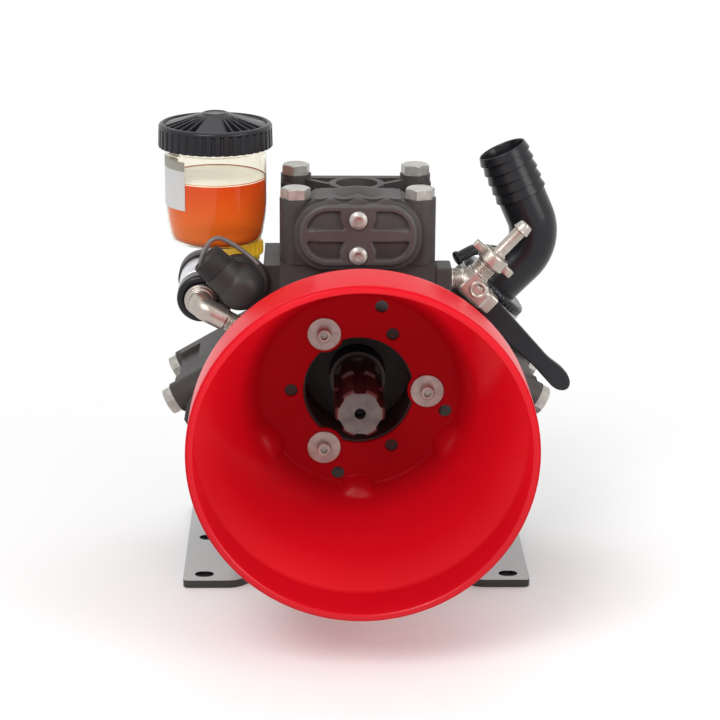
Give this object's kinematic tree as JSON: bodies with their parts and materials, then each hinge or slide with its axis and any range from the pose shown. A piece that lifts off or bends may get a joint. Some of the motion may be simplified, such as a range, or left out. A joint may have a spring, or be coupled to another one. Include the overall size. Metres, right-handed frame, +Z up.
{
  "type": "diaphragm pump",
  "caption": "Three-head diaphragm pump on slotted feet, with a splined drive shaft inside a flared red shield, an oil sight cup, a barbed suction elbow and a small lever valve.",
  "frame": {"origin": "centre of the outer foot slots, on the underside of the feet", "axes": "+Z up, the drive shaft's splined end points to -Y, the suction elbow is on +X"},
  "size_m": [0.3066, 0.326, 0.3415],
  "materials": {
    "cast_dark": "semi-gloss charcoal coat on castings",
    "cast_grey": "semi-gloss grey coat",
    "shield_red": "glossy",
    "steel_bright": "machined",
    "zinc": "zinc plated",
    "foot_grey": "satin",
    "black_plastic": "moulded",
    "black_gloss": "moulded",
    "clear_cup": "translucent",
    "oil_amber": "liquid",
    "neck_yellow": "moulded",
    "nickel": "nickel plated brass"
  },
  "bodies": {
    "pump": {"cover_screws": "zinc", "crankcase": "cast_dark", "drive_shield": "shield_red", "foot_bolts": "zinc", "front_ring": "cast_dark", "head_bolts": "zinc", "hose_tail": "nickel", "left_duct": "cast_dark", "left_foot": "foot_grey", "left_head": "cast_dark", "left_valve_cover": "cast_grey", "nickel_elbow": "nickel", "oil_cap": "black_plastic", "oil_cup": "clear_cup", "oil_fill": "oil_amber", "oil_neck": "neck_yellow", "oil_port": "black_plastic", "outlet_body": "black_plastic", "port_ring": "black_plastic", "port_sleeve": "nickel", "rear_cover": "cast_dark", "ribbed_cap": "black_plastic", "right_duct": "cast_dark", "right_foot": "foot_grey", "right_head": "cast_dark", "right_valve_cover": "cast_grey", "shield_screws": "zinc", "shield_washers": "zinc", "suction_collar": "black_plastic", "suction_duct": "cast_dark", "suction_elbow": "black_gloss", "top_head": "cast_dark", "top_valve_cover": "cast_grey", "valve_body": "nickel", "wing_nut": "nickel"},
    "shaft": {"drive_shaft": "steel_bright"},
    "lever": {"valve_lever": "black_plastic"}
  },
  "joints": [
    {"name": "shaft_turn", "type": "hinge", "parent": "pump", "child": "shaft", "pos_m": [0, 0, 0.158], "axis": [0, -1, 0], "continuous": true},
    {"name": "lever_turn", "type": "hinge", "parent": "pump", "child": "lever", "pos_m": [0.0932, -0.02, 0.2063], "axis": [0, -1, 0], "range_deg": [0, 90]}
  ]
}
